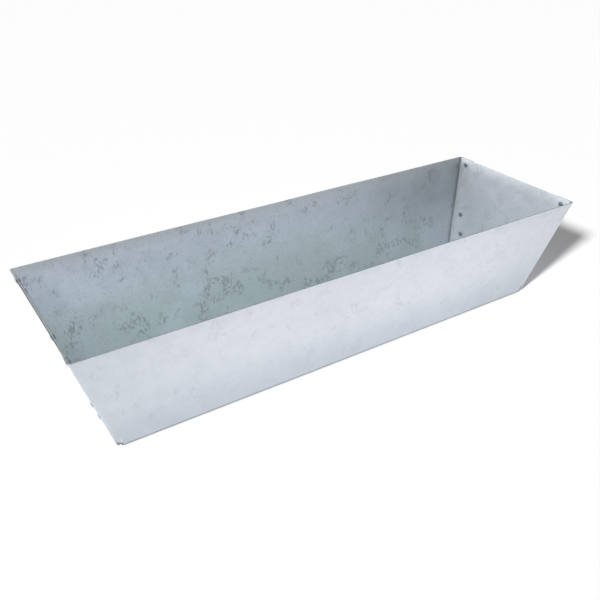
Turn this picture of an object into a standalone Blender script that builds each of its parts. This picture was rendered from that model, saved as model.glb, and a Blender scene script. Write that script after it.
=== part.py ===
"""Galvanised trough feeder: a folded sheet body, two end panels and twelve blind rivets.

The body is one sheet: floor, two sloping long walls and, at every corner, a flap that turns round
the outside of the end panel. Each end panel has a flange that lies on the floor. Three blind rivets
clamp each flap to its end panel, with their flanges outside and their formed tails inside the
trough; each holds the broken-off stub of its pulling mandrel.

Units are metres, +Z is up, +X runs along the trough, and the origin is under the middle of the
floor, on the surface the trough stands on.
"""

import math

import bmesh
import bpy
from mathutils import Vector

# Overall size of the folded sheet, over its outer faces.
TOP_LENGTH = 0.500
TOP_WIDTH = 0.160
BOTTOM_LENGTH = 0.443
BOTTOM_WIDTH = 0.113
HEIGHT = 0.104

# Sheet metal.
SHEET = 0.0007
FIT_GAP = 0.0003
BEND_SETBACK = 0.0026
BEND_SEGMENTS = 4
BEND_ANGLE_LIMIT = math.radians(30)

# Corner flaps. The floor's corners are cut off square, and a slit up the wall ends each floor bend.
# From the slit to the corner line, the wall's foot is cut off on a slant, up to the flap's foot.
FLAP_RIM_WIDTH = 0.0205
FLAP_FOOT_WIDTH = 0.0325
FLAP_FOOT_HEIGHT = 0.0085
WALL_FOOT_HEIGHT = 0.0040
CORNER_RELIEF = 0.0033
SLIT_WIDTH = 0.0008
SLIT_HEIGHT = 0.0090

# End panels.
PANEL_EDGE_INSET = 0.0030
FLANGE_DEPTH = 0.0150

# Rivet places at each corner: a name, the distance in from the corner line across the end, and the
# distance down the slope from the rim.
RIVET_PLACES = (
    ("top", 0.0110, 0.0064),
    ("middle", 0.0140, 0.0605),
    ("bottom", 0.0181, 0.0808),
)

# Blind rivet, 3.2 mm nominal, and its mandrel.
SHANK_RADIUS = 0.0016
BORE_RADIUS = 0.00105
FLANGE_RADIUS = 0.00325
FLANGE_EDGE = 0.0003
FLANGE_HEIGHT = 0.0005
TAIL_RADIUS = 0.0024
TAIL_LENGTH = 0.0011
POCKET_RADIUS = 0.0018
POCKET_DEPTH = 0.0007
STUB_RADIUS = BORE_RADIUS - FIT_GAP
STUB_RECESS = 0.0006
STUB_HEAD_RADIUS = POCKET_RADIUS - FIT_GAP
STUB_HEAD_HEIGHT = 0.0006
RIVET_STEPS = 16
STUB_STEPS = 12
MERGE_DISTANCE = 0.00001

# Holes for the rivets.
HOLE_RADIUS = SHANK_RADIUS + FIT_GAP
HOLE_CUTTER_LENGTH = 0.006
HOLE_SIDES = 16

# Angles and levels that follow from the sizes above.
END_RUN = (TOP_LENGTH - BOTTOM_LENGTH) / 2
SIDE_RUN = (TOP_WIDTH - BOTTOM_WIDTH) / 2
END_LEAN = math.atan2(END_RUN, HEIGHT)
PANEL_OFFSET = SHEET + FIT_GAP
JOINT_THICKNESS = SHEET + FIT_GAP + SHEET

GALVANISED = ("galvanised_sheet", (0.62, 0.66, 0.70), 0.42, 0.85)
ALUMINIUM = ("rivet_aluminium", (0.55, 0.57, 0.60), 0.38, 0.95)
STEEL = ("mandrel_steel", (0.12, 0.12, 0.13), 0.50, 0.90)


def half_length(z):
    """Half the outer length of the trough at height z."""
    return BOTTOM_LENGTH / 2 + END_RUN * z / HEIGHT


def half_width(z):
    """Half the outer width of the trough at height z."""
    return BOTTOM_WIDTH / 2 + SIDE_RUN * z / HEIGHT


def sign(value):
    return math.copysign(1.0, value)


def clear_scene():
    for item in list(bpy.data.objects):
        bpy.data.objects.remove(item, do_unlink=True)


def new_collection(name):
    collection = bpy.data.collections.new(name)
    bpy.context.scene.collection.children.link(collection)
    return collection


def make_material(name, colour, roughness, metallic):
    material = bpy.data.materials.new(name)
    material.use_nodes = True
    shader = material.node_tree.nodes["Principled BSDF"]
    shader.inputs["Base Color"].default_value = (*colour, 1.0)
    shader.inputs["Roughness"].default_value = roughness
    shader.inputs["Metallic"].default_value = metallic
    return material


def place_object(name, mesh, collection, finish=None):
    """Link a new object that has its own material, a copy of the finish it is given."""
    item = bpy.data.objects.new(name, mesh)
    collection.objects.link(item)
    if finish is not None:
        if not mesh.materials:
            mesh.materials.append(None)
        label, colour, roughness, metallic = finish
        item.material_slots[0].link = "OBJECT"
        item.material_slots[0].material = make_material(f"{name}_{label}", colour, roughness, metallic)
    return item


def mesh_from(bm, name):
    mesh = bpy.data.meshes.new(name)
    bm.to_mesh(mesh)
    bm.free()
    return mesh


def add_sheet_modifiers(item, hole_cutters):
    """Round the folds, give the surface its thickness on the inside and cut the rivet holes."""
    bend = item.modifiers.new("Bends", "BEVEL")
    bend.width = BEND_SETBACK
    bend.segments = BEND_SEGMENTS
    bend.limit_method = "ANGLE"
    bend.angle_limit = BEND_ANGLE_LIMIT
    bend.use_clamp_overlap = False
    thickness = item.modifiers.new("Sheet", "SOLIDIFY")
    thickness.thickness = SHEET
    thickness.offset = -1.0
    thickness.use_even_offset = True
    holes = item.modifiers.new("Rivet holes", "BOOLEAN")
    holes.operation = "DIFFERENCE"
    holes.solver = "EXACT"
    holes.operand_type = "COLLECTION"
    holes.collection = hole_cutters


def all_geometry(bm):
    return bm.verts[:] + bm.edges[:] + bm.faces[:]


def trough_surface():
    """Outer surface of the body: a channel with open ends, cut-off floor corners and four flaps."""
    bm = bmesh.new()
    bmesh.ops.create_cube(bm, size=1.0)
    for vert in bm.verts:
        z = HEIGHT if vert.co.z > 0 else 0.0
        vert.co = Vector((sign(vert.co.x) * half_length(z), sign(vert.co.y) * half_width(z), z))
    top_and_ends = [
        face for face in bm.faces
        if face.normal.z > 0.5 or abs(face.normal.x) > 0.5
    ]
    bmesh.ops.delete(bm, geom=top_and_ends, context="FACES")

    relief_x = BOTTOM_LENGTH / 2 - CORNER_RELIEF
    relief_y = BOTTOM_WIDTH / 2 - CORNER_RELIEF
    slit_x = relief_x + SLIT_WIDTH
    cuts = [((0, 0, SLIT_HEIGHT), (0, 0, 1))]
    for side in (-1, 1):
        cuts.append(((side * relief_x, 0, 0), (1, 0, 0)))
        cuts.append(((side * slit_x, 0, 0), (1, 0, 0)))
        cuts.append(((0, side * relief_y, 0), (0, 1, 0)))
    for point, normal in cuts:
        bmesh.ops.bisect_plane(bm, geom=all_geometry(bm), plane_co=point, plane_no=normal)
    foot_run = half_length(FLAP_FOOT_HEIGHT) - slit_x
    foot_rise = FLAP_FOOT_HEIGHT - WALL_FOOT_HEIGHT
    for side in (-1, 1):
        strip = [face for face in bm.faces if face.calc_center_median().x * side > slit_x]
        geometry = set(strip)
        for face in strip:
            geometry.update(face.edges, face.verts)
        bmesh.ops.bisect_plane(
            bm,
            geom=list(geometry),
            plane_co=(side * slit_x, 0, WALL_FOOT_HEIGHT),
            plane_no=(-side * foot_rise, 0, foot_run),
        )
    removed = []
    for face in bm.faces:
        centre = face.calc_center_median()
        if abs(centre.x) > relief_x and abs(centre.y) > relief_y:
            beyond_slit = abs(centre.x) - slit_x
            foot = WALL_FOOT_HEIGHT + foot_rise * beyond_slit / foot_run
            if centre.z < (foot if beyond_slit > 0 else SLIT_HEIGHT):
                removed.append(face)
    bmesh.ops.delete(bm, geom=removed, context="FACES")

    def on_corner_line(vert):
        on_end = abs(abs(vert.co.x) - half_length(vert.co.z)) < MERGE_DISTANCE
        on_side = abs(abs(vert.co.y) - half_width(vert.co.z)) < MERGE_DISTANCE
        return on_end and on_side and vert.co.z > FLAP_FOOT_HEIGHT - MERGE_DISTANCE

    corner_edges = [edge for edge in bm.edges if all(on_corner_line(vert) for vert in edge.verts)]
    grown = bmesh.ops.extrude_edge_only(bm, edges=corner_edges)["geom"]
    for vert in (part for part in grown if isinstance(part, bmesh.types.BMVert)):
        rise = (vert.co.z - FLAP_FOOT_HEIGHT) / (HEIGHT - FLAP_FOOT_HEIGHT)
        width = FLAP_FOOT_WIDTH + (FLAP_RIM_WIDTH - FLAP_FOOT_WIDTH) * rise
        vert.co.y -= sign(vert.co.y) * width
    bm.normal_update()
    inward = [face for face in bm.faces if face.normal.dot(face.calc_center_median()) < 0 and
              abs(face.normal.x) > 0.5]
    bmesh.ops.reverse_faces(bm, faces=inward)
    return mesh_from(bm, "trough_surface")


def end_panel_surface(side):
    """Outer surface of an end panel: the flange on the floor, then the sloping panel."""
    floor_level = PANEL_OFFSET
    fold_x = half_length(floor_level) - PANEL_OFFSET / math.cos(END_LEAN)
    rim_x = half_length(HEIGHT) - PANEL_OFFSET / math.cos(END_LEAN)
    fold_y = half_width(floor_level) - PANEL_EDGE_INSET
    rim_y = half_width(HEIGHT) - PANEL_EDGE_INSET

    bm = bmesh.new()
    bmesh.ops.create_grid(bm, x_segments=1, y_segments=1, size=0.5)
    for vert in bm.verts:
        outer = vert.co.x > 0
        x = fold_x if outer else fold_x - FLANGE_DEPTH
        vert.co = Vector((x, sign(vert.co.y) * fold_y, floor_level))
    fold = [edge for edge in bm.edges if all(vert.co.x > fold_x - MERGE_DISTANCE for vert in edge.verts)]
    grown = bmesh.ops.extrude_edge_only(bm, edges=fold)["geom"]
    for vert in (part for part in grown if isinstance(part, bmesh.types.BMVert)):
        vert.co = Vector((rim_x, sign(vert.co.y) * rim_y, HEIGHT))
    for vert in bm.verts:
        vert.co.x *= side
    bm.normal_update()
    upward = [face for face in bm.faces if face.normal.z > 0]
    bmesh.ops.reverse_faces(bm, faces=upward)
    return mesh_from(bm, "end_panel_surface")


def rivet_profile():
    """Closed half section of the rivet, as radius and height above the inner face of the joint."""
    flange_seat = JOINT_THICKNESS + FIT_GAP
    flange_top = flange_seat + FLANGE_HEIGHT
    tail_seat = -FIT_GAP
    tail_end = tail_seat - TAIL_LENGTH
    return [
        (BORE_RADIUS, flange_top),
        ((BORE_RADIUS + FLANGE_RADIUS) / 2, flange_top - FLANGE_HEIGHT / 6),
        (FLANGE_RADIUS, flange_seat + FLANGE_EDGE),
        (FLANGE_RADIUS - FLANGE_EDGE / 2, flange_seat),
        (SHANK_RADIUS, flange_seat),
        (SHANK_RADIUS, tail_seat),
        (TAIL_RADIUS * 0.9, tail_seat - TAIL_LENGTH * 0.12),
        (TAIL_RADIUS, tail_seat - TAIL_LENGTH * 0.45),
        (TAIL_RADIUS * 0.93, tail_end + TAIL_LENGTH * 0.12),
        (POCKET_RADIUS + FLANGE_EDGE / 2, tail_end),
        (POCKET_RADIUS, tail_end + POCKET_DEPTH),
        (BORE_RADIUS, tail_end + POCKET_DEPTH),
    ]


def stub_profile():
    """Half section of the mandrel stub, from its broken end on the axis to its head on the axis."""
    broken_end = JOINT_THICKNESS + FIT_GAP + FLANGE_HEIGHT - STUB_RECESS
    head_seat = -FIT_GAP - TAIL_LENGTH + POCKET_DEPTH - FIT_GAP
    head_end = head_seat - STUB_HEAD_HEIGHT
    return [
        (0.0, broken_end),
        (STUB_RADIUS, broken_end),
        (STUB_RADIUS, head_seat),
        (STUB_HEAD_RADIUS, head_seat),
        (STUB_HEAD_RADIUS, head_seat - STUB_HEAD_HEIGHT * 0.5),
        (STUB_HEAD_RADIUS * 0.7, head_end + STUB_HEAD_HEIGHT * 0.12),
        (0.0, head_end),
    ]


def profile_mesh(name, points, closed):
    bm = bmesh.new()
    verts = [bm.verts.new((radius, 0.0, height)) for radius, height in points]
    for first, second in zip(verts, verts[1:]):
        bm.edges.new((first, second))
    if closed:
        bm.edges.new((verts[-1], verts[0]))
    return mesh_from(bm, name)


def turn(item, steps):
    """Revolve the object's half section round its own Z axis."""
    screw = item.modifiers.new("Turned", "SCREW")
    screw.axis = "Z"
    screw.angle = math.tau
    screw.steps = steps
    screw.render_steps = steps
    screw.use_merge_vertices = True
    screw.merge_threshold = MERGE_DISTANCE
    screw.use_smooth_shade = True


def rivet_position(side, row_side, corner_distance, down_slope):
    """Point on the inner face of the end joint where a rivet's axis passes."""
    z = HEIGHT - down_slope * math.cos(END_LEAN)
    outer = Vector((half_length(z), row_side * (half_width(z) - corner_distance), z))
    outward = Vector((math.cos(END_LEAN), 0.0, -math.sin(END_LEAN)))
    point = outer - outward * JOINT_THICKNESS
    point.x *= side
    return point


def set_on_end(item, side, point):
    """Stand the object's Z axis along the outward normal of the end."""
    item.location = point
    item.rotation_euler = (0.0, side * (math.pi / 2 + END_LEAN), 0.0)


def add_hole_cutter(name, mesh, collection, side, point):
    cutter = place_object(name, mesh, collection)
    cutter.hide_render = True
    cutter.display_type = "WIRE"
    set_on_end(cutter, side, point)


def hole_cutter_mesh():
    bm = bmesh.new()
    bmesh.ops.create_cone(
        bm,
        cap_ends=True,
        segments=HOLE_SIDES,
        radius1=HOLE_RADIUS,
        radius2=HOLE_RADIUS,
        depth=HOLE_CUTTER_LENGTH,
    )
    return mesh_from(bm, "hole_cutter")


def build():
    clear_scene()
    parts = new_collection("trough_feeder")
    cutters = new_collection("cutters")

    rivet_mesh = profile_mesh("rivet_section", rivet_profile(), closed=True)
    stub_mesh = profile_mesh("mandrel_section", stub_profile(), closed=False)
    cutter_mesh = hole_cutter_mesh()
    for end_name, side in (("left", -1), ("right", 1)):
        for row_name, row_side in (("front", -1), ("back", 1)):
            for level, corner_distance, down_slope in RIVET_PLACES:
                point = rivet_position(side, row_side, corner_distance, down_slope)
                place = f"{end_name}_{row_name}_{level}"
                add_hole_cutter(f"hole_{place}", cutter_mesh, cutters, side, point)
                rivet = place_object(f"rivet_{place}", rivet_mesh, parts, ALUMINIUM)
                set_on_end(rivet, side, point)
                turn(rivet, RIVET_STEPS)
                stub = place_object(f"mandrel_{place}", stub_mesh, parts, STEEL)
                set_on_end(stub, side, point)
                turn(stub, STUB_STEPS)

    body = place_object("trough_body", trough_surface(), parts, GALVANISED)
    add_sheet_modifiers(body, cutters)
    for end_name, side in (("left", -1), ("right", 1)):
        panel = place_object(f"end_panel_{end_name}", end_panel_surface(side), parts, GALVANISED)
        add_sheet_modifiers(panel, cutters)


build()
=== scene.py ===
"""Looks of the galvanised trough feeder: fine sheet meshes, set blind rivets and weathered zinc, with
painted shade and highlights.
"""

import math

import bmesh
import bpy
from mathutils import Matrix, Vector, noise


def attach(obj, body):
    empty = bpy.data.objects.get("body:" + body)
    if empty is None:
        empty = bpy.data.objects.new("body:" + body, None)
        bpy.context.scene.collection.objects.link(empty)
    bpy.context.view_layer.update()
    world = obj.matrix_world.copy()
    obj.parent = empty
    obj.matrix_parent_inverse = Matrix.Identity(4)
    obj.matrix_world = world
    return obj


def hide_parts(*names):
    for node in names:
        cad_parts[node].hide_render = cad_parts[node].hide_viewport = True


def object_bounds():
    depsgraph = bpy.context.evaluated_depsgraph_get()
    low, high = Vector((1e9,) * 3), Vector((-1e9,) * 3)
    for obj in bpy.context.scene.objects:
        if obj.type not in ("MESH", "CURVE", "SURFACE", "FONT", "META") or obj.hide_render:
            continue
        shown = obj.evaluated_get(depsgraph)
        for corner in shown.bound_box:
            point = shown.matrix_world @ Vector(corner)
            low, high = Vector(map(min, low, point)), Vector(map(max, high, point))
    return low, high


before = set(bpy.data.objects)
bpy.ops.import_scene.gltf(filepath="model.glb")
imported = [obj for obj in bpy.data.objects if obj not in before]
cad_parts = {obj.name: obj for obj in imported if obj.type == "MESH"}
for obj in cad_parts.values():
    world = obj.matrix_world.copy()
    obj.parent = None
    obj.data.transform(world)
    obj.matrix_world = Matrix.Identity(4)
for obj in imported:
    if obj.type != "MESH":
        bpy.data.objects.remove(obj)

CAD_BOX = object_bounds()
BODY = "root"

# The trough's outer size: the top from the frame, and the floor's before the folds round it off.
TOP_LENGTH = CAD_BOX[1].x - CAD_BOX[0].x
TOP_WIDTH = CAD_BOX[1].y - CAD_BOX[0].y
BOTTOM_LENGTH = 0.443
BOTTOM_WIDTH = 0.113
HEIGHT = 0.104

# Sheet metal.
SHEET = 0.0007
FIT_GAP = 0.0003
BEND_SETBACK = 0.0026
BEND_SEGMENTS = 8
RAW_EDGE_ROUND = 0.00010
RAW_EDGE_SEGMENTS = 2
FOLD_ANGLE = math.radians(30)
SHARP_ANGLE = math.radians(40)
RAW_EDGE_ANGLE = math.radians(60)
SAME_PLACE = 0.00001
PANEL_EDGE_INSET = 0.0030
FLANGE_DEPTH = 0.0150
FLAP_RIM_WIDTH = 0.0205
FLAP_FOOT_WIDTH = 0.0325
FLAP_FOOT_HEIGHT = 0.0085
WALL_FOOT_HEIGHT = 0.0040
CORNER_RELIEF = 0.0033
SLIT_WIDTH = 0.0008
SLIT_HEIGHT = 0.0090
INSIDE = 1
CUT_EDGE = 2
GRID_STEP = 0.011

# Slight unevenness of hand-folded sheet.
WAVE_HEIGHT = 0.00022
WAVE_LENGTH = 0.090
WAVE_SEED = 1

# Blind rivets.
SHANK_RADIUS = 0.0016
BORE_RADIUS = 0.00105
RIVET_FLANGE_RADIUS = 0.00325
RIVET_FLANGE_HEIGHT = 0.0005
TAIL_RADIUS = 0.0024
TAIL_LENGTH = 0.0011
POCKET_RADIUS = 0.0018
POCKET_DEPTH = 0.0007
STUB_RADIUS = 0.00075
STUB_HEAD_RADIUS = 0.0015
STUB_HEAD_HEIGHT = 0.0006
STUB_RECESS = 0.0006
STUB_BREAK_HEIGHT = 0.00015
BORE_CHAMFER_WIDTH = 0.00012
BORE_CHAMFER_TOP = -0.00005
BORE_CHAMFER_FOOT = -0.00018
DOME_START = 0.0004
DOME_FOOT = 0.00025
RIM_ROUND = 0.00010
POCKET_ROUND = 0.00005
TURN_STEPS = 40
ARC_STEPS = 8

END_RUN = (TOP_LENGTH - BOTTOM_LENGTH) / 2
SIDE_RUN = (TOP_WIDTH - BOTTOM_WIDTH) / 2
END_LEAN = math.atan2(END_RUN, HEIGHT)
PANEL_OFFSET = SHEET + FIT_GAP
JOINT_THICKNESS = SHEET + FIT_GAP + SHEET


# ---------------------------------------------------------------- sheet meshes


def sign(value):
    return math.copysign(1.0, value)


def half_length(z):
    return BOTTOM_LENGTH / 2 + END_RUN * z / HEIGHT


def half_width(z):
    return BOTTOM_WIDTH / 2 + SIDE_RUN * z / HEIGHT


def unevenness(point):
    """A small smooth offset, the same for sheets and rivets that touch."""
    return noise.noise_vector(Vector(point) / WAVE_LENGTH) * WAVE_HEIGHT


def levels(low, high, step):
    """Evenly spaced cuts between two ends, about a step apart."""
    count = max(1, round((high - low) / step))
    return [low + (high - low) * i / count for i in range(1, count)]


def cut(bm, point, normal, faces=None):
    """Cut the faces, or the whole surface, along a plane."""
    geometry = set(faces or bm.faces)
    for face in list(geometry):
        geometry.update(face.edges, face.verts)
    bmesh.ops.bisect_plane(bm, geom=list(geometry), plane_co=point, plane_no=normal)


def new_verts(grown):
    return [part for part in grown["geom"] if isinstance(part, bmesh.types.BMVert)]


def trough_surface():
    """Outer surface of the body: a channel with open ends, cut-off floor corners and four flaps."""
    bm = bmesh.new()
    bmesh.ops.create_cube(bm, size=1.0)
    for vert in bm.verts:
        z = HEIGHT if vert.co.z > 0 else 0.0
        vert.co = Vector((sign(vert.co.x) * half_length(z), sign(vert.co.y) * half_width(z), z))
    open_faces = [face for face in bm.faces if face.normal.z > 0.5 or abs(face.normal.x) > 0.5]
    bmesh.ops.delete(bm, geom=open_faces, context="FACES")

    relief_x = BOTTOM_LENGTH / 2 - CORNER_RELIEF
    relief_y = BOTTOM_WIDTH / 2 - CORNER_RELIEF
    slit_x = relief_x + SLIT_WIDTH
    cut(bm, (0, 0, SLIT_HEIGHT), (0, 0, 1))
    for side in (-1, 1):
        cut(bm, (side * relief_x, 0, 0), (1, 0, 0))
        cut(bm, (side * slit_x, 0, 0), (1, 0, 0))
        cut(bm, (0, side * relief_y, 0), (0, 1, 0))
    foot_run = half_length(FLAP_FOOT_HEIGHT) - slit_x
    foot_rise = FLAP_FOOT_HEIGHT - WALL_FOOT_HEIGHT
    for side in (-1, 1):
        strip = [face for face in bm.faces if face.calc_center_median().x * side > slit_x]
        cut(bm, (side * slit_x, 0, WALL_FOOT_HEIGHT), (-side * foot_rise, 0, foot_run), strip)
    removed = []
    for face in bm.faces:
        centre = face.calc_center_median()
        if abs(centre.x) > relief_x and abs(centre.y) > relief_y:
            beyond_slit = abs(centre.x) - slit_x
            foot = WALL_FOOT_HEIGHT + foot_rise * beyond_slit / foot_run
            if centre.z < (foot if beyond_slit > 0 else SLIT_HEIGHT):
                removed.append(face)
    bmesh.ops.delete(bm, geom=removed, context="FACES")

    def on_corner_line(vert):
        on_end = abs(abs(vert.co.x) - half_length(vert.co.z)) < SAME_PLACE
        on_side = abs(abs(vert.co.y) - half_width(vert.co.z)) < SAME_PLACE
        return on_end and on_side and vert.co.z > FLAP_FOOT_HEIGHT - SAME_PLACE

    corner_edges = [edge for edge in bm.edges if all(on_corner_line(vert) for vert in edge.verts)]
    grown = bmesh.ops.extrude_edge_only(bm, edges=corner_edges)
    for vert in new_verts(grown):
        rise = (vert.co.z - FLAP_FOOT_HEIGHT) / (HEIGHT - FLAP_FOOT_HEIGHT)
        width = FLAP_FOOT_WIDTH + (FLAP_RIM_WIDTH - FLAP_FOOT_WIDTH) * rise
        vert.co.y -= sign(vert.co.y) * width
    bm.normal_update()
    inward = [
        face for face in bm.faces
        if abs(face.normal.x) > 0.5 and face.normal.dot(face.calc_center_median()) < 0
    ]
    bmesh.ops.reverse_faces(bm, faces=inward)
    for x in levels(-relief_x, relief_x, GRID_STEP):
        cut(bm, (x, 0, 0), (1, 0, 0))
    for y in levels(-relief_y, relief_y, GRID_STEP):
        cut(bm, (0, y, 0), (0, 1, 0))
    for z in levels(SLIT_HEIGHT, HEIGHT, GRID_STEP):
        cut(bm, (0, 0, z), (0, 0, 1))
    return bm


def end_panel_surface(side):
    """Outer surface of an end panel: the flange on the floor, then the sloping panel."""
    floor_level = PANEL_OFFSET
    fold_x = half_length(floor_level) - PANEL_OFFSET / math.cos(END_LEAN)
    rim_x = half_length(HEIGHT) - PANEL_OFFSET / math.cos(END_LEAN)
    fold_y = half_width(floor_level) - PANEL_EDGE_INSET
    rim_y = half_width(HEIGHT) - PANEL_EDGE_INSET
    bm = bmesh.new()
    bmesh.ops.create_grid(bm, x_segments=1, y_segments=1, size=0.5)
    for vert in bm.verts:
        x = fold_x if vert.co.x > 0 else fold_x - FLANGE_DEPTH
        vert.co = Vector((x, sign(vert.co.y) * fold_y, floor_level))
    fold = [edge for edge in bm.edges if all(vert.co.x > fold_x - SAME_PLACE for vert in edge.verts)]
    grown = bmesh.ops.extrude_edge_only(bm, edges=fold)
    for vert in new_verts(grown):
        vert.co = Vector((rim_x, sign(vert.co.y) * rim_y, HEIGHT))
    for vert in bm.verts:
        vert.co.x *= side
    bm.normal_update()
    bmesh.ops.reverse_faces(bm, faces=[face for face in bm.faces if face.normal.z > 0])
    for y in levels(-fold_y, fold_y, GRID_STEP):
        cut(bm, (0, y, 0), (0, 1, 0))
    for z in levels(floor_level, HEIGHT, GRID_STEP):
        cut(bm, (0, 0, z), (0, 0, 1))
    return bm


def sheet_piece(name, bm, node, faces):
    """A finished sheet from its outer surface: rounded folds, thickness and blunt raw edges."""
    mesh = bpy.data.meshes.new(name)
    bm.to_mesh(mesh)
    bm.free()
    piece = bpy.data.objects.new(name, mesh)
    bpy.context.scene.collection.objects.link(piece)
    for material in faces:
        mesh.materials.append(material)
    bend = piece.modifiers.new("Bends", "BEVEL")
    bend.width = BEND_SETBACK
    bend.segments = BEND_SEGMENTS
    bend.limit_method = "ANGLE"
    bend.angle_limit = FOLD_ANGLE
    bend.use_clamp_overlap = False
    apply_modifiers(piece)
    for vert in piece.data.vertices:
        shift = unevenness(vert.co)
        shift.z *= min(1.0, vert.co.z / WAVE_LENGTH)
        vert.co += shift
    thickness = piece.modifiers.new("Sheet", "SOLIDIFY")
    thickness.thickness = SHEET
    thickness.offset = -1.0
    thickness.use_even_offset = True
    thickness.material_offset = INSIDE
    thickness.material_offset_rim = CUT_EDGE
    edges = piece.modifiers.new("Raw edges", "BEVEL")
    edges.width = RAW_EDGE_ROUND
    edges.segments = RAW_EDGE_SEGMENTS
    edges.limit_method = "ANGLE"
    edges.angle_limit = RAW_EDGE_ANGLE
    apply_modifiers(piece)
    smooth(piece.data)
    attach(piece, BODY)
    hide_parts(node)
    return piece


def apply_modifiers(piece):
    evaluated = piece.evaluated_get(bpy.context.evaluated_depsgraph_get())
    result = bpy.data.meshes.new_from_object(evaluated)
    piece.modifiers.clear()
    piece.data = result


def smooth(mesh):
    mesh.shade_smooth()
    mesh.set_sharp_from_angle(angle=SHARP_ANGLE)


# ---------------------------------------------------------------- rivets


def end_frame(node):
    """Where a rivet's axis meets the top of its flange, and the outward direction of the axis."""
    coordinates = [vert.co.copy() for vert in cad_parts[node].data.vertices]
    side = sign(coordinates[0].x)
    outward = Vector((side * math.cos(END_LEAN), 0.0, -math.sin(END_LEAN)))
    top = max(point.dot(outward) for point in coordinates)
    ring = [point for point in coordinates if point.dot(outward) > top - SAME_PLACE]
    centre = sum(ring, Vector()) / len(ring)
    return centre, outward


def arc(centre, radii, start, stop, count):
    """Points on an ellipse in the half section, angles in degrees from +radius towards +height."""
    points = []
    for i in range(count + 1):
        angle = math.radians(start + (stop - start) * i / count)
        points.append((centre[0] + radii[0] * math.cos(angle), centre[1] + radii[1] * math.sin(angle)))
    return points


def rivet_section():
    """Closed half section of a set rivet; height zero is at the top of its flange."""
    flange_seat = -RIVET_FLANGE_HEIGHT
    tail_seat = flange_seat - JOINT_THICKNESS - 2 * FIT_GAP
    tail_end = tail_seat - TAIL_LENGTH
    dome_start = BORE_RADIUS + DOME_START
    dome_radii = (RIVET_FLANGE_RADIUS - BORE_RADIUS - DOME_START, RIVET_FLANGE_HEIGHT - DOME_FOOT)
    dome = arc((dome_start, flange_seat + DOME_FOOT), dome_radii, 90, 0, ARC_STEPS)
    bulge_centre = (SHANK_RADIUS, (tail_seat + tail_end) / 2)
    bulge_radii = (TAIL_RADIUS - SHANK_RADIUS, TAIL_LENGTH / 2)
    bulge = arc(bulge_centre, bulge_radii, 80, -60, ARC_STEPS)
    lip = (TAIL_RADIUS + POCKET_RADIUS) / 2
    return [
        (BORE_RADIUS, BORE_CHAMFER_FOOT),
        (BORE_RADIUS + BORE_CHAMFER_WIDTH, BORE_CHAMFER_TOP),
        *dome,
        (RIVET_FLANGE_RADIUS - RIM_ROUND, flange_seat),
        (SHANK_RADIUS, flange_seat),
        (SHANK_RADIUS, tail_seat),
        *bulge,
        (lip, tail_end),
        (POCKET_RADIUS + POCKET_ROUND, tail_end + RIM_ROUND),
        (POCKET_RADIUS, tail_end + POCKET_DEPTH),
        (BORE_RADIUS, tail_end + POCKET_DEPTH),
    ]


def stub_section():
    """Half section of the mandrel stub, from its broken end on the axis to its head on the axis."""
    tail_end = -RIVET_FLANGE_HEIGHT - JOINT_THICKNESS - 2 * FIT_GAP - TAIL_LENGTH
    head_seat = tail_end + POCKET_DEPTH - FIT_GAP
    head_end = head_seat - STUB_HEAD_HEIGHT
    dome_centre = (0.0, head_seat - STUB_HEAD_HEIGHT / 2)
    dome = arc(dome_centre, (STUB_HEAD_RADIUS, STUB_HEAD_HEIGHT / 2), 0, -90, ARC_STEPS)
    return [
        (0.0, -STUB_RECESS + STUB_BREAK_HEIGHT),
        (STUB_RADIUS * 0.5, -STUB_RECESS + RIM_ROUND),
        (STUB_RADIUS, -STUB_RECESS - RIM_ROUND),
        (STUB_RADIUS, head_seat),
        (STUB_HEAD_RADIUS, head_seat),
        *dome[:-1],
        (0.0, head_end),
    ]


def turned_mesh(name, section, closed):
    bm = bmesh.new()
    verts = [bm.verts.new((radius, 0.0, height)) for radius, height in section]
    for first, second in zip(verts, verts[1:]):
        bm.edges.new((first, second))
    if closed:
        bm.edges.new((verts[-1], verts[0]))
    mesh = bpy.data.meshes.new(name)
    bm.to_mesh(mesh)
    bm.free()
    piece = bpy.data.objects.new(name, mesh)
    bpy.context.scene.collection.objects.link(piece)
    screw = piece.modifiers.new("Turned", "SCREW")
    screw.axis = "Z"
    screw.angle = math.tau
    screw.steps = TURN_STEPS
    screw.render_steps = TURN_STEPS
    screw.use_merge_vertices = True
    screw.merge_threshold = SAME_PLACE / 4
    apply_modifiers(piece)
    result = piece.data
    bpy.data.objects.remove(piece)
    smooth(result)
    return result


def fastener_piece(node, mesh, material):
    """One rivet or mandrel stub, set where its CAD node is."""
    rivet_node = node.replace("mandrel", "rivet")
    centre, outward = end_frame(rivet_node)
    piece = bpy.data.objects.new(f"{node}_set", mesh.copy())
    bpy.context.scene.collection.objects.link(piece)
    piece.data.materials.append(material)
    piece.location = centre + unevenness(centre)
    piece.rotation_mode = "QUATERNION"
    piece.rotation_quaternion = outward.to_track_quat("Z", "Y")
    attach(piece, BODY)
    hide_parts(node)
    return piece


# ---------------------------------------------------------------- materials


# The Mix node has a socket of each name for every data type; these are its colour sockets.
MIX_FIRST_COLOUR = 6
MIX_SECOND_COLOUR = 7
MIX_COLOUR_RESULT = 2
AXIS_X = 0
AXIS_Y = 1
AXIS_Z = 2


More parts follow.
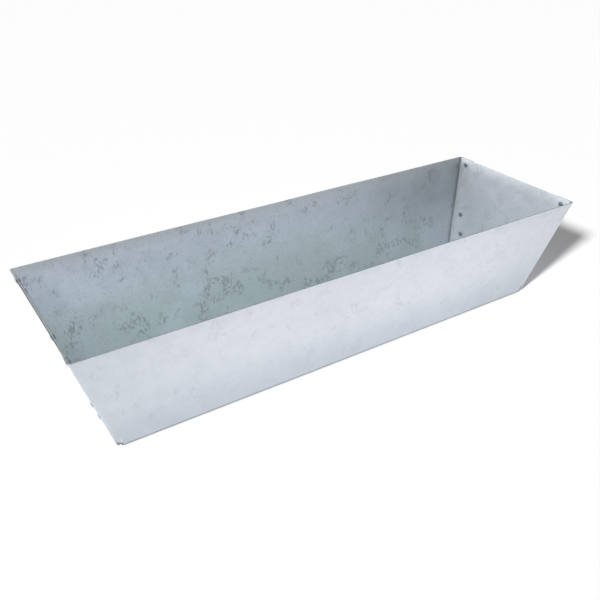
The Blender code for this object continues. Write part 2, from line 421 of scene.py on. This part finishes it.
class Shader:
    """A material's node tree with short calls to add nodes."""

    def __init__(self, name):
        self.material = bpy.data.materials.new(name)
        self.material.use_nodes = True
        self.tree = self.material.node_tree
        self.principled = self.tree.nodes["Principled BSDF"]
        self.place = self.tree.nodes.new("ShaderNodeTexCoord").outputs["Object"]

    def link(self, value, socket):
        if isinstance(value, bpy.types.NodeSocket):
            self.tree.links.new(value, socket)
        else:
            socket.default_value = value

    def noise(self, scale, detail=3.0, roughness=0.5, distortion=0.0, stretch=(1, 1, 1)):
        node = self.tree.nodes.new("ShaderNodeTexNoise")
        node.inputs["Scale"].default_value = scale
        node.inputs["Detail"].default_value = detail
        node.inputs["Roughness"].default_value = roughness
        node.inputs["Distortion"].default_value = distortion
        self.link(self.stretched(stretch), node.inputs["Vector"])
        return node.outputs["Fac"]

    def crystals(self, scale):
        """A random level for each crystal of the spangle."""
        cells = self.tree.nodes.new("ShaderNodeTexVoronoi")
        cells.inputs["Scale"].default_value = scale
        self.link(self.place, cells.inputs["Vector"])
        level = self.tree.nodes.new("ShaderNodeSeparateColor")
        self.link(cells.outputs["Color"], level.inputs["Color"])
        return level.outputs["Red"]

    def axis(self, number):
        parts = self.tree.nodes.new("ShaderNodeSeparateXYZ")
        self.link(self.place, parts.inputs["Vector"])
        return parts.outputs[number]

    def inset(self, height, number, bottom, run):
        """Distance in from the trough's outer faces, across a horizontal axis."""
        reach = self.maths("MULTIPLY", height, run / HEIGHT)
        reach = self.maths("ADD", reach, bottom / 2)
        return self.maths("SUBTRACT", reach, self.maths("ABSOLUTE", self.axis(number), 0.0))

    def stretched(self, scale):
        node = self.tree.nodes.new("ShaderNodeMapping")
        self.link(self.place, node.inputs["Vector"])
        node.inputs["Scale"].default_value = scale
        return node.outputs["Vector"]

    def band(self, value, low, high, out_low=0.0, out_high=1.0):
        node = self.tree.nodes.new("ShaderNodeMapRange")
        node.interpolation_type = "SMOOTHSTEP"
        self.link(value, node.inputs["Value"])
        node.inputs["From Min"].default_value = low
        node.inputs["From Max"].default_value = high
        node.inputs["To Min"].default_value = out_low
        node.inputs["To Max"].default_value = out_high
        return node.outputs["Result"]

    def maths(self, operation, first, second):
        node = self.tree.nodes.new("ShaderNodeMath")
        node.operation = operation
        self.link(first, node.inputs[0])
        self.link(second, node.inputs[1])
        return node.outputs[0]

    def mix(self, factor, first, second):
        node = self.tree.nodes.new("ShaderNodeMix")
        node.data_type = "RGBA"
        self.link(factor, node.inputs["Factor"])
        self.link(first, node.inputs[MIX_FIRST_COLOUR])
        self.link(second, node.inputs[MIX_SECOND_COLOUR])
        return node.outputs[MIX_COLOUR_RESULT]

    def bump(self, height, strength, distance, normal=None):
        node = self.tree.nodes.new("ShaderNodeBump")
        node.inputs["Strength"].default_value = strength
        node.inputs["Distance"].default_value = distance
        self.link(height, node.inputs["Height"])
        if normal is not None:
            self.link(normal, node.inputs["Normal"])
        return node.outputs["Normal"]

    def finish(self, colour, roughness, metallic, normal=None):
        self.link(colour, self.principled.inputs["Base Color"])
        self.link(roughness, self.principled.inputs["Roughness"])
        self.principled.inputs["Metallic"].default_value = metallic
        if normal is not None:
            self.link(normal, self.principled.inputs["Normal"])
        return self.material


# Clean zinc, also used as painted light: the end panels' inner tone and the painted highlights near
# the rim and along the side margins.
ZINC_CLEAN_AND_LIT = (0.84, 0.865, 0.92, 1.0)
ZINC_BRIGHT = (0.75, 0.78, 0.85, 1.0)
ZINC_PLAIN = (0.70, 0.735, 0.80, 1.0)
# Dull zinc for the mottle, spangle and cut edges, and also a painted shade towards the outer faces'
# ends and the floor.
ZINC_DULL_AND_SHADE = (0.50, 0.545, 0.59, 1.0)
# A darker, bluer tone for the body's inner faces: painted shade.
ZINC_SHADED_INSIDE = (0.58, 0.67, 0.755, 1.0)
# Painted shade towards the +X end of the inner faces.
ZINC_END_SHADE = (0.40, 0.43, 0.45, 1.0)
# A greenish film towards the floor, partly a painted reflection.
ZINC_FILM_AND_REFLECTION = (0.535, 0.612, 0.598, 1.0)
ZINC_FLECK = (0.20, 0.23, 0.25, 1.0)
# Near black, a painted shade: the corner seams inside and the outer foot fold.
PAINTED_SHADE = (0.06, 0.065, 0.065, 1.0)
STEEL_CORE = (0.13, 0.13, 0.13, 1.0)
RIVET_TARNISH = (0.27, 0.30, 0.35, 1.0)
RIVET_DULL = (0.50, 0.52, 0.55, 1.0)
RIVET_BRIGHT = (0.66, 0.68, 0.71, 1.0)
STUB_DARK = (0.18, 0.20, 0.23, 1.0)
STUB_LIGHT = (0.34, 0.37, 0.41, 1.0)

# Noise scales, in features per metre.
CLOUD_SCALE = 9
MOTTLE_SCALE = 75
SPANGLE_SCALE = 260
CLUMP_SCALE = 58
GRAIN_SCALE = 500
PEPPER_SCALE = 520
FILM_AND_REFLECTION_SCALE = 20
END_SHADE_SCALE = 14

# Where each mark begins and where it is full, in metres: a height, a distance from the middle of the
# trough's length, or a distance in from its end or side faces. Most are painted light and shade: shade
# towards the outer ends, near the floor, along the foot fold, towards the +X end inside and in the
# corner seams;
# highlights near the inner rim and along the end panels' side margins; the film near the floor is
# partly a painted reflection.
SHADED_OUTER_ENDS = (0.10, 0.25)
SHADED_LOW = (0.060, 0.0)
SHADED_FOOT = (0.0028, 0.0012)
WORN_LOW = (0.095, 0.020)
LIT_RIM = (0.085, 0.102)
FILM_AND_REFLECTION_LOW = (0.100, 0.030)
SHADED_PLUS_X_END = (0.04, 0.22)
SHADED_PLUS_X_TOP = (0.035, 0.070)
LIT_MARGIN = (0.0300, 0.0080)
SEAM_FROM_END = (0.0028, 0.0018)
SEAM_FROM_SIDE = (0.0022, 0.0014)

# Depths of bumps, in metres.
GRAIN_DEPTH = 0.00003
MOTTLE_DEPTH = 0.0002
EDGE_GRAIN_DEPTH = 0.00004
RIVET_GRAIN_DEPTH = 0.00005

ZINC_METALLIC = 0.75
EDGE_METALLIC = 0.6
RIVET_METALLIC = 0.85
STUB_METALLIC = 0.75


def zinc_colour(s, mottle_depth):
    """Plain weathered zinc: broad clouds, mottling and faint spangle."""
    cloud = s.noise(CLOUD_SCALE, detail=3, roughness=0.5)
    mottle = s.noise(MOTTLE_SCALE, detail=5, roughness=0.6, distortion=0.3)
    colour = s.mix(s.band(cloud, 0.35, 0.65), ZINC_PLAIN, ZINC_BRIGHT)
    colour = s.mix(s.band(mottle, 0.38, 0.78, 0.0, mottle_depth), colour, ZINC_DULL_AND_SHADE)
    spangle = s.band(s.crystals(SPANGLE_SCALE), 0.0, 1.0, 0.0, mottle_depth / 2)
    colour = s.mix(spangle, colour, ZINC_DULL_AND_SHADE)
    return colour, mottle


def flecked(s, colour, depth, worn_low):
    """Small dark flecks in loose clumps, and more clumps near the floor where it is worn low."""
    clump = s.noise(CLUMP_SCALE, detail=2, roughness=0.55, distortion=0.35)
    clump = s.maths("ADD", clump, s.band(s.axis(AXIS_Z), *WORN_LOW, 0.0, worn_low))
    grains = s.noise(GRAIN_SCALE, detail=2, roughness=0.6, stretch=(1, 1, 0.55))
    grains = s.band(grains, 0.46, 0.58)
    flecks = s.maths("MULTIPLY", s.band(clump, 0.57, 0.67), grains)
    pepper = s.band(s.noise(PEPPER_SCALE, detail=2, roughness=0.6), 0.56, 0.68, 0.0, 0.50)
    flecks = s.maths("MAXIMUM", flecks, pepper)
    return s.mix(s.maths("MULTIPLY", flecks, depth), colour, ZINC_FLECK)


def zinc_outside():
    """The outer face: clean, smooth and pale, with few marks, and painted shade towards its ends, near
    the floor and along its foot fold.
    """
    s = Shader("zinc_outside")
    colour, mottle = zinc_colour(s, 0.22)
    colour = s.mix(0.40, colour, ZINC_CLEAN_AND_LIT)
    height = s.axis(AXIS_Z)
    from_middle = s.maths("ABSOLUTE", s.axis(AXIS_X), 0.0)
    # Painted shade: the outer faces darker towards both ends.
    colour = s.mix(s.band(from_middle, *SHADED_OUTER_ENDS, 0.0, 0.30), colour, ZINC_DULL_AND_SHADE)
    # Painted shade: the outer faces darker near the floor.
    colour = s.mix(s.band(height, *SHADED_LOW, 0.0, 0.60), colour, ZINC_DULL_AND_SHADE)
    colour = flecked(s, colour, 0.13, 0.0)
    # Painted shade: a dark line along the outer foot fold, where the fold meets the floor.
    foot_shade = s.band(height, *SHADED_FOOT, 0.0, 0.65)
    colour = s.mix(foot_shade, colour, PAINTED_SHADE)
    normal = s.bump(s.noise(GRAIN_SCALE, detail=2), 0.2, GRAIN_DEPTH)
    normal = s.bump(mottle, 0.2, MOTTLE_DEPTH, normal)
    return s.finish(colour, s.band(mottle, 0.3, 0.7, 0.44, 0.54), ZINC_METALLIC, normal)


def zinc_inside(name, tint, fleck_depth, film_and_reflection_depth, end_shade, margin_highlight, rim_highlight):
    """The inner face: flecked, with a greenish film towards the floor that is partly a painted
    reflection, and painted shade in the corner seams.

    Painted shade, in patches, darkens it towards the +X end; painted highlights lighten its side
    margins and its top; the tint is painted shade on the body and painted light on the end panels.
    """
    s = Shader(name)
    colour, mottle = zinc_colour(s, 0.25)
    height = s.axis(AXIS_Z)
    # The tint is painted shade on the body's inner faces and painted light on the end panels'.
    colour = s.mix(0.25, colour, tint)
    # Painted highlight near the top of the inner faces.
    colour = s.mix(s.band(height, *LIT_RIM, 0.0, rim_highlight), colour, ZINC_CLEAN_AND_LIT)
    # A greenish film towards the floor, partly a painted reflection.
    film_and_reflection = s.band(height, *FILM_AND_REFLECTION_LOW, 0.0, film_and_reflection_depth)
    film_and_reflection = s.maths("MULTIPLY", film_and_reflection, s.band(s.noise(FILM_AND_REFLECTION_SCALE, detail=3), 0.30, 0.55, 0.5, 1.0))
    colour = s.mix(film_and_reflection, colour, ZINC_FILM_AND_REFLECTION)
    # Painted shade towards the +X end, stronger near the top and broken into patches.
    end_shade_mask = s.band(s.axis(AXIS_X), *SHADED_PLUS_X_END, 0.0, end_shade)
    end_shade_mask = s.maths("MULTIPLY", end_shade_mask, s.band(height, *SHADED_PLUS_X_TOP, 0.35, 1.0))
    patches = s.band(s.noise(END_SHADE_SCALE, detail=3), 0.35, 0.60, 0.55, 1.0)
    end_shade_mask = s.maths("MULTIPLY", end_shade_mask, patches)
    colour = s.mix(end_shade_mask, colour, ZINC_END_SHADE)
    from_end = s.inset(height, AXIS_X, BOTTOM_LENGTH, END_RUN)
    from_side = s.inset(height, AXIS_Y, BOTTOM_WIDTH, SIDE_RUN)
    # Painted highlight along the side margins of the inner faces.
    lit_margin = s.band(from_side, *LIT_MARGIN, 0.0, margin_highlight)
    colour = s.mix(lit_margin, colour, ZINC_CLEAN_AND_LIT)
    colour = flecked(s, colour, fleck_depth, 0.035)
    # Painted shade in the corner seams, where the end panels meet the body.
    seam = s.maths("MULTIPLY", s.band(from_end, *SEAM_FROM_END), s.band(from_side, *SEAM_FROM_SIDE))
    colour = s.mix(s.maths("MULTIPLY", seam, 0.30), colour, PAINTED_SHADE)
    normal = s.bump(s.noise(GRAIN_SCALE, detail=2), 0.25, GRAIN_DEPTH)
    normal = s.bump(mottle, 0.25, MOTTLE_DEPTH, normal)
    roughness = s.maths("ADD", s.band(mottle, 0.3, 0.7, 0.44, 0.56), s.maths("MULTIPLY", seam, 0.4))
    return s.finish(colour, roughness, ZINC_METALLIC, normal)


def cut_edge():
    """The sheared edges: dull steel core with a little zinc smeared over it."""
    s = Shader("cut_edge")
    dull = s.noise(700, detail=4, roughness=0.6)
    colour = s.mix(s.band(dull, 0.35, 0.65, 0.0, 0.35), STEEL_CORE, ZINC_DULL_AND_SHADE)
    roughness = s.band(dull, 0.3, 0.7, 0.55, 0.70)
    return s.finish(colour, roughness, EDGE_METALLIC, s.bump(dull, 0.3, EDGE_GRAIN_DEPTH))


def aluminium(name):
    """The rivets: bright outside, and dulled inside the trough, where the feed lies."""
    s = Shader(name)
    dull = s.noise(900, detail=4, roughness=0.6)
    colour = s.mix(s.band(dull, 0.35, 0.65), RIVET_DULL, RIVET_BRIGHT)
    inside = s.band(s.axis(AXIS_Z), -RIVET_FLANGE_HEIGHT, -RIVET_FLANGE_HEIGHT - JOINT_THICKNESS)
    colour = s.mix(s.maths("MULTIPLY", inside, 0.85), colour, RIVET_TARNISH)
    roughness = s.maths("ADD", s.band(dull, 0.35, 0.65, 0.35, 0.50), s.maths("MULTIPLY", inside, 0.15))
    return s.finish(colour, roughness, RIVET_METALLIC, s.bump(dull, 0.3, RIVET_GRAIN_DEPTH))


def dark_steel(name):
    s = Shader(name)
    dull = s.noise(1100, detail=4, roughness=0.6)
    colour = s.mix(s.band(dull, 0.35, 0.65), STUB_DARK, STUB_LIGHT)
    roughness = s.band(dull, 0.35, 0.65, 0.50, 0.65)
    return s.finish(colour, roughness, STUB_METALLIC, s.bump(dull, 0.4, RIVET_GRAIN_DEPTH))


# ---------------------------------------------------------------- stage


# The floor's own sun throws the shadow. Three very wide suns, which light only the object, stand for
# large soft lights round it: name, elevation, azimuth from +X towards +Y, strength.
FLOOR_SUN_DIRECTION = Vector((0.150, 0.074, -0.104))
FLOOR_SUN_STRENGTH = 4.85
FLOOR_SUN_SOFTNESS = math.radians(6)
SOFTBOXES = (
    ("softbox_back", 35, 90, 2.36),
    ("softbox_left", 60, 180, 2.0),
    ("softbox_right", 12, 0, 1.5),
)
SOFTBOX_WIDTH = math.radians(50)
FILL_COLOUR = (1.0, 1.0, 1.0, 1.0)
FILL_STRENGTH = 0.29
FLOOR_SIZE = 12.0
FLOOR_COLOUR = (0.90, 0.90, 0.905, 1.0)
CAMERA_PLACE = Vector((-0.3252, -0.4881, 0.3801))
CAMERA_HEADING = math.radians(33.16)
CAMERA_DIP = math.radians(30.60)
CAMERA_LENS = 42.96
CAMERA_SENSOR = 36
CAMERA_NEAR = 0.01
# The picture centre lies a little off the middle of the frame.
CAMERA_SHIFT = -0.020


def add_floor():
    bpy.ops.mesh.primitive_plane_add(size=FLOOR_SIZE)
    floor = bpy.context.object
    floor.name = "floor"
    s = Shader("floor_paint")
    floor.data.materials.append(s.finish(FLOOR_COLOUR, 0.85, 0.0))
    s.principled.inputs["Specular IOR Level"].default_value = 0.1
    return floor


def add_sun(name, direction, strength, width, receivers):
    """A distant light that falls only on the receivers; direction is the way its light travels."""
    lamp = bpy.data.lights.new(name, "SUN")
    lamp.energy = strength
    lamp.angle = width
    sun = bpy.data.objects.new(name, lamp)
    sun.rotation_mode = "QUATERNION"
    sun.rotation_quaternion = direction.to_track_quat("-Z", "Y")
    bpy.context.scene.collection.objects.link(sun)
    lit = bpy.data.collections.new(f"lit_by_{name}")
    for receiver in receivers:
        lit.objects.link(receiver)
    sun.light_linking.receiver_collection = lit


def add_lights(floor, pieces):
    add_sun("floor_sun", FLOOR_SUN_DIRECTION, FLOOR_SUN_STRENGTH, FLOOR_SUN_SOFTNESS, [floor])
    for name, elevation, azimuth, strength in SOFTBOXES:
        rise = math.radians(elevation)
        turn = math.radians(azimuth)
        level = math.cos(rise)
        towards = Vector((math.cos(turn) * level, math.sin(turn) * level, math.sin(rise)))
        add_sun(name, -towards, strength, SOFTBOX_WIDTH, pieces)
    world = bpy.data.worlds.new("studio")
    world.use_nodes = True
    background = world.node_tree.nodes["Background"]
    background.inputs["Color"].default_value = FILL_COLOUR
    background.inputs["Strength"].default_value = FILL_STRENGTH
    bpy.context.scene.world = world


def add_camera():
    camera = bpy.data.objects.new("camera", bpy.data.cameras.new("camera"))
    camera.data.lens = CAMERA_LENS
    camera.data.sensor_width = CAMERA_SENSOR
    camera.data.shift_x = CAMERA_SHIFT
    camera.data.clip_start = CAMERA_NEAR
    camera.location = CAMERA_PLACE
    forward = Vector((
        math.sin(CAMERA_HEADING) * math.cos(CAMERA_DIP),
        math.cos(CAMERA_HEADING) * math.cos(CAMERA_DIP),
        -math.sin(CAMERA_DIP),
    ))
    camera.rotation_mode = "QUATERNION"
    camera.rotation_quaternion = forward.to_track_quat("-Z", "Y")
    bpy.context.scene.collection.objects.link(camera)
    bpy.context.scene.camera = camera
    bpy.context.scene.view_settings.view_transform = "Standard"


def build():
    noise.seed_set(WAVE_SEED)
    outside = zinc_outside()
    edge = cut_edge()
    # The body's inner faces: painted shade tint, painted shade towards the +X end and a painted
    # highlight near the rim.
    body_inside = zinc_inside(
        "zinc_inside_body", ZINC_SHADED_INSIDE, fleck_depth=0.48, film_and_reflection_depth=0.75, end_shade=0.95, margin_highlight=0.0,
        rim_highlight=0.45)
    faces = (outside, body_inside, edge)
    pieces = [sheet_piece("body_sheet", trough_surface(), "trough_body", faces)]
    # The end panels' inner faces: painted light tint and a painted highlight along their side margins.
    ends_inside = zinc_inside(
        "zinc_inside_ends", ZINC_CLEAN_AND_LIT, fleck_depth=0.22, film_and_reflection_depth=0.20, end_shade=0.0, margin_highlight=0.9,
        rim_highlight=0.0)
    faces = (outside, ends_inside, edge)
    for end_name, side in (("left", -1), ("right", 1)):
        surface = end_panel_surface(side)
        pieces.append(sheet_piece(f"end_sheet_{end_name}", surface, f"end_panel_{end_name}", faces))
    rivet_mesh = turned_mesh("rivet_set", rivet_section(), closed=True)
    stub_mesh = turned_mesh("mandrel_set", stub_section(), closed=False)
    rivet_metal = aluminium("rivet_aluminium")
    stub_metal = dark_steel("mandrel_steel")
    for node in sorted(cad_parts):
        if node.startswith("rivet"):
            pieces.append(fastener_piece(node, rivet_mesh, rivet_metal))
        elif node.startswith("mandrel"):
            pieces.append(fastener_piece(node, stub_mesh, stub_metal))
    floor = add_floor()
    add_lights(floor, pieces)
    add_camera()


build()
